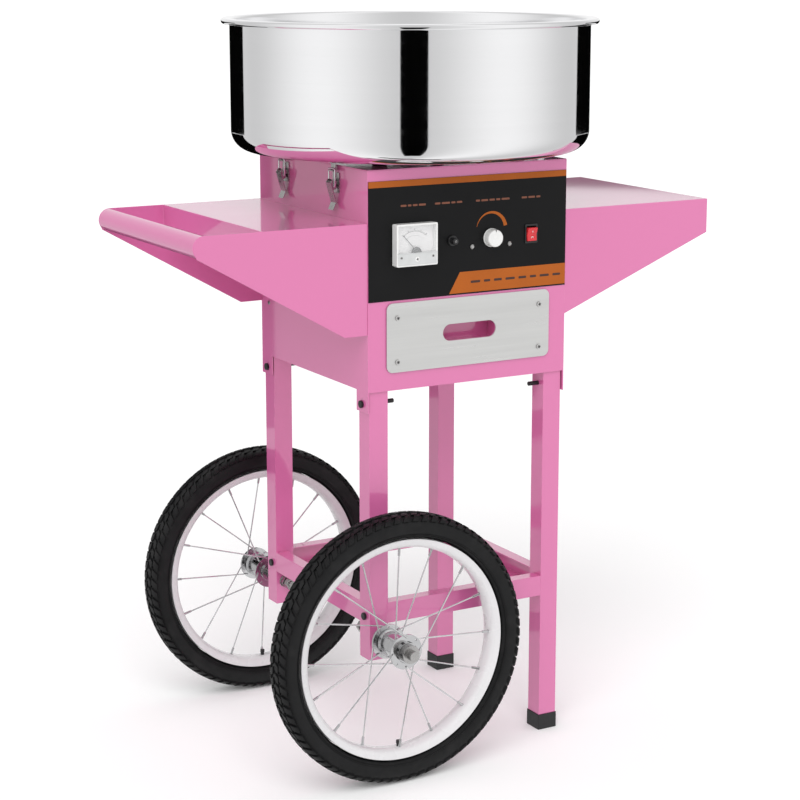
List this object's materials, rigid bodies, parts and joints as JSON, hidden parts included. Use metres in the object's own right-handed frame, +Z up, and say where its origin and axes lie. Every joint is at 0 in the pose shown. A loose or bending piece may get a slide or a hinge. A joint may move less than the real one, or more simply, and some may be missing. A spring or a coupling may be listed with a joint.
{
  "type": "cotton candy machine cart",
  "caption": "Cotton candy machine with a round steel bowl and spinner head on a box housing with control panel and drawer, carried on a folding-tray cart with two spoked wheels.",
  "frame": {"origin": "middle of the overall box, on the floor the wheels and feet stand on", "axes": "+Z up, front control panel faces -Y, push handle towards -X, axle along Y"},
  "size_m": [0.8, 0.5199, 1.0085],
  "materials": {
    "pink_paint": "gloss powder coat",
    "polished_steel": "polished stainless",
    "brushed_front": "brushed stainless",
    "zinc_steel": "zinc plated",
    "black_panel": "printed film",
    "white_plastic": "gloss",
    "black_plastic": "satin",
    "red_plastic": "gloss",
    "clear_window": "clear",
    "black_rubber": "matte",
    "tyre_rubber": "matte",
    "white_rim": "gloss paint",
    "spoke_chrome": "chrome",
    "hub_aluminium": "polished",
    "spinner_aluminium": "spun",
    "heater_steel": "heat stained",
    "motor_paint": "grey enamel",
    "ring_brass": "turned",
    "black_steel": "black oxide",
    "carbon": "sintered"
  },
  "bodies": {
    "body": {"housing": "pink_paint", "deck_plate": "pink_paint", "bowl_pads": "black_rubber", "control_panel": "black_panel", "voltmeter_case": "white_plastic", "voltmeter_window": "clear_window", "fuse_holder": "black_plastic", "switch_bezel": "black_plastic", "heat_controller": "black_plastic", "panel_screws": "zinc_steel", "power_inlet": "black_plastic", "bowl": "polished_steel", "bowl_keepers": "zinc_steel", "latch_bases": "zinc_steel", "motor": "motor_paint", "motor_mount": "zinc_steel", "brush_holder": "black_plastic", "carbon_brushes": "carbon", "drawer_runners": "zinc_steel", "left_tray": "pink_paint", "push_handle": "pink_paint", "right_tray": "pink_paint", "front_left_leg": "pink_paint", "rear_left_leg": "pink_paint", "front_right_leg": "pink_paint", "rear_right_leg": "pink_paint", "foot_caps": "black_rubber", "front_rail": "pink_paint", "rear_rail": "pink_paint", "left_rail": "pink_paint", "right_rail": "pink_paint", "frame_bolts": "black_steel", "axle_bolts": "zinc_steel"},
    "spinner": {"spindle": "zinc_steel", "slip_rings": "ring_brass", "head_base": "spinner_aluminium", "heating_band": "heater_steel", "head_lid": "spinner_aluminium"},
    "front_wheel": {"front_tyre": "tyre_rubber", "front_rim": "white_rim", "front_spokes": "spoke_chrome", "front_hub": "hub_aluminium"},
    "rear_wheel": {"rear_tyre": "tyre_rubber", "rear_rim": "white_rim", "rear_spokes": "spoke_chrome", "rear_hub": "hub_aluminium"},
    "drawer": {"drawer_tray": "pink_paint", "drawer_front": "brushed_front"},
    "knob": {"heat_knob": "white_plastic"},
    "rocker": {"power_rocker": "red_plastic"},
    "needle": {"voltmeter_needle": "black_plastic"},
    "fuse_plug": {"fuse_cap": "black_plastic"},
    "latch_lever_front_left": {"lever_front_left": "zinc_steel"},
    "latch_bail_front_left": {"bail_front_left": "spoke_chrome"},
    "latch_lever_rear_left": {"lever_rear_left": "zinc_steel"},
    "latch_bail_rear_left": {"bail_rear_left": "spoke_chrome"},
    "latch_lever_front_right": {"lever_front_right": "zinc_steel"},
    "latch_bail_front_right": {"bail_front_right": "spoke_chrome"},
    "latch_lever_rear_right": {"lever_rear_right": "zinc_steel"},
    "latch_bail_rear_right": {"bail_rear_right": "spoke_chrome"}
  },
  "joints": [
    {"name": "front_wheel_spin", "type": "hinge", "parent": "body", "child": "front_wheel", "pos_m": [-0.1357, -0.2105, 0.1855], "axis": [0, 1, 0], "continuous": true},
    {"name": "rear_wheel_spin", "type": "hinge", "parent": "body", "child": "rear_wheel", "pos_m": [-0.1357, 0.2105, 0.1855], "axis": [0, 1, 0], "continuous": true},
    {"name": "spinner_spin", "type": "hinge", "parent": "body", "child": "spinner", "pos_m": [0.002, 0, 0.86], "axis": [0, 0, 1], "continuous": true},
    {"name": "drawer_slide", "type": "slide", "parent": "body", "child": "drawer", "axis": [0, -1, 0], "range_m": [0, 0.2]},
    {"name": "knob_turn", "type": "hinge", "parent": "body", "child": "knob", "pos_m": [0.0357, -0.165, 0.72], "axis": [0, 1, 0], "range_deg": [0, 270]},
    {"name": "rocker_tilt", "type": "hinge", "parent": "body", "child": "rocker", "pos_m": [0.0995, -0.16, 0.721], "axis": [1, 0, 0], "range_deg": [-16, 0]},
    {"name": "needle_swing", "type": "hinge", "parent": "body", "child": "needle", "pos_m": [-0.0855, -0.1678, 0.7125], "axis": [0, 1, 0], "range_deg": [0, 84], "stiffness_Nm_per_rad": 0.001},
    {"name": "fuse_pull", "type": "slide", "parent": "body", "child": "fuse_plug", "axis": [0, -1, 0], "range_m": [0, 0.03]},
    {"name": "lever_lift_front_left", "type": "hinge", "parent": "body", "child": "latch_lever_front_left", "pos_m": [-0.161, -0.075, 0.797], "axis": [0, 1, 0], "range_deg": [0, 120]},
    {"name": "bail_swing_front_left", "type": "hinge", "parent": "latch_lever_front_left", "child": "latch_bail_front_left", "pos_m": [-0.1604, -0.075, 0.791], "axis": [0, 1, 0], "range_deg": [-120, 0]},
    {"name": "lever_lift_rear_left", "type": "hinge", "parent": "body", "child": "latch_lever_rear_left", "pos_m": [-0.161, 0.075, 0.797], "axis": [0, 1, 0], "range_deg": [0, 120]},
    {"name": "bail_swing_rear_left", "type": "hinge", "parent": "latch_lever_rear_left", "child": "latch_bail_rear_left", "pos_m": [-0.1604, 0.075, 0.791], "axis": [0, 1, 0], "range_deg": [-120, 0]},
    {"name": "lever_lift_front_right", "type": "hinge", "parent": "body", "child": "latch_lever_front_right", "pos_m": [0.165, -0.075, 0.797], "axis": [0, -1, 0], "range_deg": [0, 120]},
    {"name": "bail_swing_front_right", "type": "hinge", "parent": "latch_lever_front_right", "child": "latch_bail_front_right", "pos_m": [0.1644, -0.075, 0.791], "axis": [0, -1, 0], "range_deg": [-120, 0]},
    {"name": "lever_lift_rear_right", "type": "hinge", "parent": "body", "child": "latch_lever_rear_right", "pos_m": [0.165, 0.075, 0.797], "axis": [0, -1, 0], "range_deg": [0, 120]},
    {"name": "bail_swing_rear_right", "type": "hinge", "parent": "latch_lever_rear_right", "child": "latch_bail_rear_right", "pos_m": [0.1644, 0.075, 0.791], "axis": [0, -1, 0], "range_deg": [-120, 0]}
  ],
  "couplings": [
    {"joint": "bail_swing_front_left", "follows": "lever_lift_front_left", "ratio": -1},
    {"joint": "bail_swing_rear_left", "follows": "lever_lift_rear_left", "ratio": -1},
    {"joint": "bail_swing_front_right", "follows": "lever_lift_front_right", "ratio": -1},
    {"joint": "bail_swing_rear_right", "follows": "lever_lift_rear_right", "ratio": -1}
  ]
}
